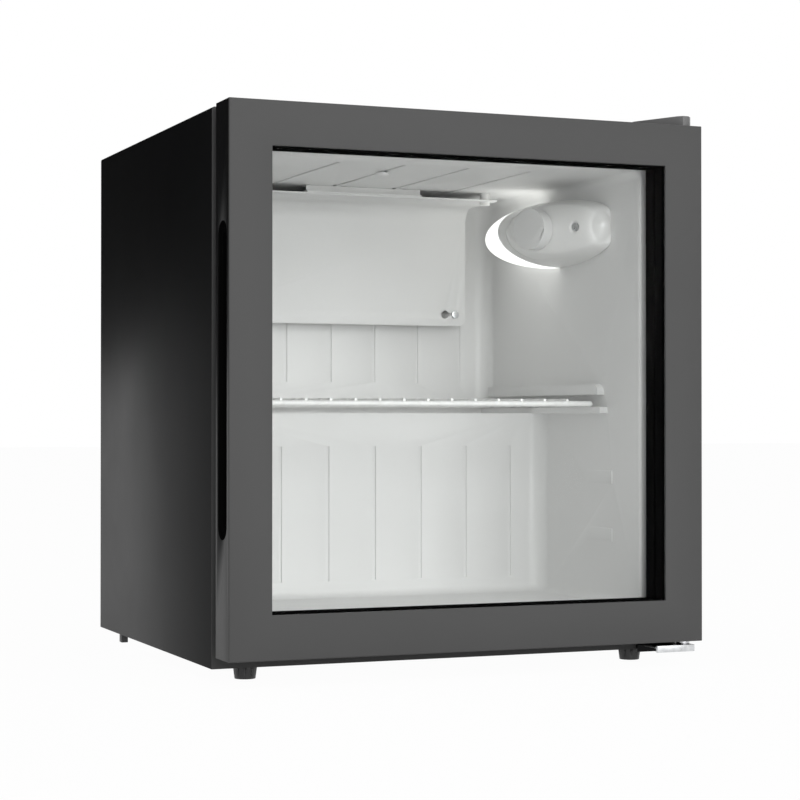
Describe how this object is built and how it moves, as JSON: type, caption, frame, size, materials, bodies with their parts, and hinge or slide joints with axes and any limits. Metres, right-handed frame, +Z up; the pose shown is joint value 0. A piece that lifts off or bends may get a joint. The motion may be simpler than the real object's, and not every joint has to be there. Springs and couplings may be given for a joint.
{
  "type": "glass door merchandiser",
  "caption": "Countertop glass door refrigerator: framed double-glazed door on a right-hand hinge, foamed cabinet with white liner, wire shelf, lamp, evaporator plate and rear compressor bay.",
  "frame": {"origin": "middle of the bounding box, on the floor the feet stand on", "axes": "+X towards the hinge side, +Y towards the back (the door faces -Y), +Z up"},
  "size_m": [0.445, 0.4502, 0.4953],
  "materials": {
    "painted_steel": "dark grey powder coat, satin",
    "galvanised_steel": "zinc plated",
    "pin_steel": "turned steel",
    "white_liner": "white moulded plastic, satin",
    "insulation": "rigid foam",
    "evaporator_aluminium": "roll-bonded plate, matt",
    "lens": "opal lamp lens",
    "board": "circuit board",
    "knob_plastic": "grey-white moulded plastic",
    "shelf_coating": "white coated steel wire",
    "black_enamel": "black enamel",
    "copper": "copper pipe",
    "black_rubber": "black rubber",
    "black_plastic": "black moulded plastic",
    "door_plastic": "dark grey door frame, satin",
    "door_glass": "clear glass"
  },
  "bodies": {
    "cabinet": {"back_panel": "painted_steel", "bay_panel": "galvanised_steel", "bottom_hinge_bracket": "galvanised_steel", "bottom_hinge_pin": "pin_steel", "bottom_hinge_screws": "galvanised_steel", "capillary_tube": "copper", "ceiling_plug": "white_liner", "compressor": "black_enamel", "compressor_bolts": "galvanised_steel", "compressor_grommets": "black_rubber", "compressor_tray": "galvanised_steel", "condenser": "black_enamel", "condenser_clips": "black_enamel", "cord_gland": "black_rubber", "cover_screw": "galvanised_steel", "discharge_tube": "copper", "drain_tube": "white_liner", "drip_tray": "white_liner", "evaporator_clips": "white_liner", "evaporator_hanger": "white_liner", "evaporator_plate": "evaporator_aluminium", "evaporator_screws": "galvanised_steel", "evaporator_spacers": "white_liner", "filter_drier": "copper", "floor_pan": "painted_steel", "foam_insulation": "insulation", "foot_nuts": "galvanised_steel", "front_rail": "painted_steel", "hinge_nut_plate": "galvanised_steel", "inner_liner": "white_liner", "lamp_base": "white_liner", "lamp_cover": "white_liner", "lamp_lens": "lens", "led_board": "board", "liquid_tube": "copper", "outer_wrapper": "painted_steel", "rear_feet": "black_rubber", "suction_tube": "copper", "terminal_cover": "black_enamel", "thermostat_body": "knob_plastic", "top_hinge_bracket": "galvanised_steel", "top_hinge_cover": "black_plastic", "top_hinge_pin": "pin_steel", "top_hinge_screws": "galvanised_steel"},
    "door": {"door_frame": "door_plastic", "handle_cup": "black_plastic", "front_glass": "door_glass", "rear_glass": "door_glass", "glass_spacer": "black_plastic", "inner_frame": "black_plastic", "door_gasket": "black_rubber", "top_bushing": "black_plastic", "bottom_bushing": "black_plastic"},
    "shelf": {"wire_shelf": "shelf_coating"},
    "knob": {"thermostat_knob": "knob_plastic"},
    "foot_left": {"front_foot_left": "black_plastic"},
    "foot_right": {"front_foot_right": "black_plastic"}
  },
  "joints": [
    {"name": "door_hinge", "type": "hinge", "parent": "cabinet", "child": "door", "pos_m": [0.2126, -0.2071, 0.25], "axis": [0, 0, 1], "range_deg": [0, 115]},
    {"name": "shelf_slide", "type": "slide", "parent": "cabinet", "child": "shelf", "axis": [0, -1, 0], "range_m": [0, 0.055]},
    {"name": "knob_turn", "type": "hinge", "parent": "cabinet", "child": "knob", "pos_m": [0.1346, -0.0678, 0.402], "axis": [0.9135, 0.4067, 0], "range_deg": [0, 270]},
    {"name": "left_foot_screw", "type": "slide", "parent": "cabinet", "child": "foot_left", "axis": [0, 0, -1], "range_m": [0, 0.008]},
    {"name": "right_foot_screw", "type": "slide", "parent": "cabinet", "child": "foot_right", "axis": [0, 0, -1], "range_m": [0, 0.008]}
  ]
}
